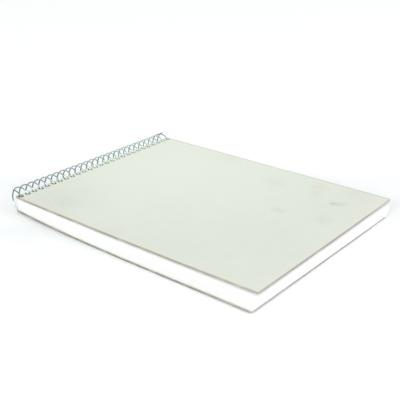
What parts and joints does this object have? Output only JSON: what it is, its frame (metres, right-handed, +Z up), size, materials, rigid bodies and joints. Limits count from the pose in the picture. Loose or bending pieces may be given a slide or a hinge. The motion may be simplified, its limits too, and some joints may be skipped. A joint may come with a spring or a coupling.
{
  "type": "bond paper pad",
  "caption": "Letter-size pad of plain white bond paper between grey-green chipboard covers, bound along the short edge by one steel wire coil on which cover and sheets turn over.",
  "frame": {"origin": "middle of the footprint, on the table that the pad lies on", "axes": "+X along the bound edge, +Y from the fore-edge to the bound edge, +Z up out of the front cover"},
  "size_m": [0.2192, 0.297, 0.0243],
  "materials": {
    "chipboard": "matte",
    "bond_paper": "matte",
    "wire": "satin"
  },
  "bodies": {
    "pad_back": {"back_cover": "chipboard"},
    "coil": {"binding_coil": "wire"},
    "front_cover": {"front_cover": "chipboard"},
    "sheets_001_005": {"sheets_001_005": "bond_paper"},
    "sheets_006_010": {"sheets_006_010": "bond_paper"},
    "sheets_011_015": {"sheets_011_015": "bond_paper"},
    "sheets_016_020": {"sheets_016_020": "bond_paper"},
    "sheets_021_025": {"sheets_021_025": "bond_paper"},
    "sheets_026_030": {"sheets_026_030": "bond_paper"},
    "sheets_031_035": {"sheets_031_035": "bond_paper"},
    "sheets_036_040": {"sheets_036_040": "bond_paper"},
    "sheets_041_045": {"sheets_041_045": "bond_paper"},
    "sheets_046_050": {"sheets_046_050": "bond_paper"},
    "sheets_051_055": {"sheets_051_055": "bond_paper"},
    "sheets_056_060": {"sheets_056_060": "bond_paper"},
    "sheets_061_065": {"sheets_061_065": "bond_paper"},
    "sheets_066_070": {"sheets_066_070": "bond_paper"},
    "sheets_071_075": {"sheets_071_075": "bond_paper"},
    "sheets_076_080": {"sheets_076_080": "bond_paper"},
    "sheets_081_085": {"sheets_081_085": "bond_paper"},
    "sheets_086_090": {"sheets_086_090": "bond_paper"},
    "sheets_091_095": {"sheets_091_095": "bond_paper"},
    "sheets_096_100": {"sheets_096_100": "bond_paper"}
  },
  "joints": [
    {"name": "front_cover_turn", "type": "hinge", "parent": "pad_back", "child": "front_cover", "pos_m": [0, 0.13634, 0.01215], "axis": [-1, 0, 0], "range_deg": [0, 180]},
    {"name": "coil_turn", "type": "hinge", "parent": "pad_back", "child": "coil", "pos_m": [0, 0.13634, 0.01215], "axis": [-1, 0, 0], "range_deg": [0, 81.01]},
    {"name": "sheets_001_005_turn", "type": "hinge", "parent": "pad_back", "child": "sheets_001_005", "pos_m": [0, 0.13634, 0.01215], "axis": [-1, 0, 0], "range_deg": [0, 171.44]},
    {"name": "sheets_006_010_turn", "type": "hinge", "parent": "pad_back", "child": "sheets_006_010", "pos_m": [0, 0.13634, 0.01215], "axis": [-1, 0, 0], "range_deg": [0, 162.87]},
    {"name": "sheets_011_015_turn", "type": "hinge", "parent": "pad_back", "child": "sheets_011_015", "pos_m": [0, 0.13634, 0.01215], "axis": [-1, 0, 0], "range_deg": [0, 154.3]},
    {"name": "sheets_016_020_turn", "type": "hinge", "parent": "pad_back", "child": "sheets_016_020", "pos_m": [0, 0.13634, 0.01215], "axis": [-1, 0, 0], "range_deg": [0, 145.72]},
    {"name": "sheets_021_025_turn", "type": "hinge", "parent": "pad_back", "child": "sheets_021_025", "pos_m": [0, 0.13634, 0.01215], "axis": [-1, 0, 0], "range_deg": [0, 137.15]},
    {"name": "sheets_026_030_turn", "type": "hinge", "parent": "pad_back", "child": "sheets_026_030", "pos_m": [0, 0.13634, 0.01215], "axis": [-1, 0, 0], "range_deg": [0, 128.58]},
    {"name": "sheets_031_035_turn", "type": "hinge", "parent": "pad_back", "child": "sheets_031_035", "pos_m": [0, 0.13634, 0.01215], "axis": [-1, 0, 0], "range_deg": [0, 120.01]},
    {"name": "sheets_036_040_turn", "type": "hinge", "parent": "pad_back", "child": "sheets_036_040", "pos_m": [0, 0.13634, 0.01215], "axis": [-1, 0, 0], "range_deg": [0, 111.44]},
    {"name": "sheets_041_045_turn", "type": "hinge", "parent": "pad_back", "child": "sheets_041_045", "pos_m": [0, 0.13634, 0.01215], "axis": [-1, 0, 0], "range_deg": [0, 102.87]},
    {"name": "sheets_046_050_turn", "type": "hinge", "parent": "pad_back", "child": "sheets_046_050", "pos_m": [0, 0.13634, 0.01215], "axis": [-1, 0, 0], "range_deg": [0, 94.3]},
    {"name": "sheets_051_055_turn", "type": "hinge", "parent": "pad_back", "child": "sheets_051_055", "pos_m": [0, 0.13634, 0.01215], "axis": [-1, 0, 0], "range_deg": [0, 85.72]},
    {"name": "sheets_056_060_turn", "type": "hinge", "parent": "pad_back", "child": "sheets_056_060", "pos_m": [0, 0.13634, 0.01215], "axis": [-1, 0, 0], "range_deg": [0, 77.15]},
    {"name": "sheets_061_065_turn", "type": "hinge", "parent": "pad_back", "child": "sheets_061_065", "pos_m": [0, 0.13634, 0.01215], "axis": [-1, 0, 0], "range_deg": [0, 68.58]},
    {"name": "sheets_066_070_turn", "type": "hinge", "parent": "pad_back", "child": "sheets_066_070", "pos_m": [0, 0.13634, 0.01215], "axis": [-1, 0, 0], "range_deg": [0, 60.01]},
    {"name": "sheets_071_075_turn", "type": "hinge", "parent": "pad_back", "child": "sheets_071_075", "pos_m": [0, 0.13634, 0.01215], "axis": [-1, 0, 0], "range_deg": [0, 51.44]},
    {"name": "sheets_076_080_turn", "type": "hinge", "parent": "pad_back", "child": "sheets_076_080", "pos_m": [0, 0.13634, 0.01215], "axis": [-1, 0, 0], "range_deg": [0, 42.87]},
    {"name": "sheets_081_085_turn", "type": "hinge", "parent": "pad_back", "child": "sheets_081_085", "pos_m": [0, 0.13634, 0.01215], "axis": [-1, 0, 0], "range_deg": [0, 34.3]},
    {"name": "sheets_086_090_turn", "type": "hinge", "parent": "pad_back", "child": "sheets_086_090", "pos_m": [0, 0.13634, 0.01215], "axis": [-1, 0, 0], "range_deg": [0, 25.72]},
    {"name": "sheets_091_095_turn", "type": "hinge", "parent": "pad_back", "child": "sheets_091_095", "pos_m": [0, 0.13634, 0.01215], "axis": [-1, 0, 0], "range_deg": [0, 17.15]},
    {"name": "sheets_096_100_turn", "type": "hinge", "parent": "pad_back", "child": "sheets_096_100", "pos_m": [0, 0.13634, 0.01215], "axis": [-1, 0, 0], "range_deg": [0, 8.58]}
  ],
  "couplings": [
    {"joint": "coil_turn", "follows": "front_cover_turn", "ratio": 0.45},
    {"joint": "sheets_001_005_turn", "follows": "front_cover_turn", "ratio": 0.95238},
    {"joint": "sheets_006_010_turn", "follows": "front_cover_turn", "ratio": 0.90476},
    {"joint": "sheets_011_015_turn", "follows": "front_cover_turn", "ratio": 0.85714},
    {"joint": "sheets_016_020_turn", "follows": "front_cover_turn", "ratio": 0.80952},
    {"joint": "sheets_021_025_turn", "follows": "front_cover_turn", "ratio": 0.76191},
    {"joint": "sheets_026_030_turn", "follows": "front_cover_turn", "ratio": 0.71429},
    {"joint": "sheets_031_035_turn", "follows": "front_cover_turn", "ratio": 0.66667},
    {"joint": "sheets_036_040_turn", "follows": "front_cover_turn", "ratio": 0.61905},
    {"joint": "sheets_041_045_turn", "follows": "front_cover_turn", "ratio": 0.57143},
    {"joint": "sheets_046_050_turn", "follows": "front_cover_turn", "ratio": 0.52381},
    {"joint": "sheets_051_055_turn", "follows": "front_cover_turn", "ratio": 0.47619},
    {"joint": "sheets_056_060_turn", "follows": "front_cover_turn", "ratio": 0.42857},
    {"joint": "sheets_061_065_turn", "follows": "front_cover_turn", "ratio": 0.38095},
    {"joint": "sheets_066_070_turn", "follows": "front_cover_turn", "ratio": 0.33333},
    {"joint": "sheets_071_075_turn", "follows": "front_cover_turn", "ratio": 0.28571},
    {"joint": "sheets_076_080_turn", "follows": "front_cover_turn", "ratio": 0.2381},
    {"joint": "sheets_081_085_turn", "follows": "front_cover_turn", "ratio": 0.19048},
    {"joint": "sheets_086_090_turn", "follows": "front_cover_turn", "ratio": 0.14286},
    {"joint": "sheets_091_095_turn", "follows": "front_cover_turn", "ratio": 0.095238},
    {"joint": "sheets_096_100_turn", "follows": "front_cover_turn", "ratio": 0.047619}
  ]
}
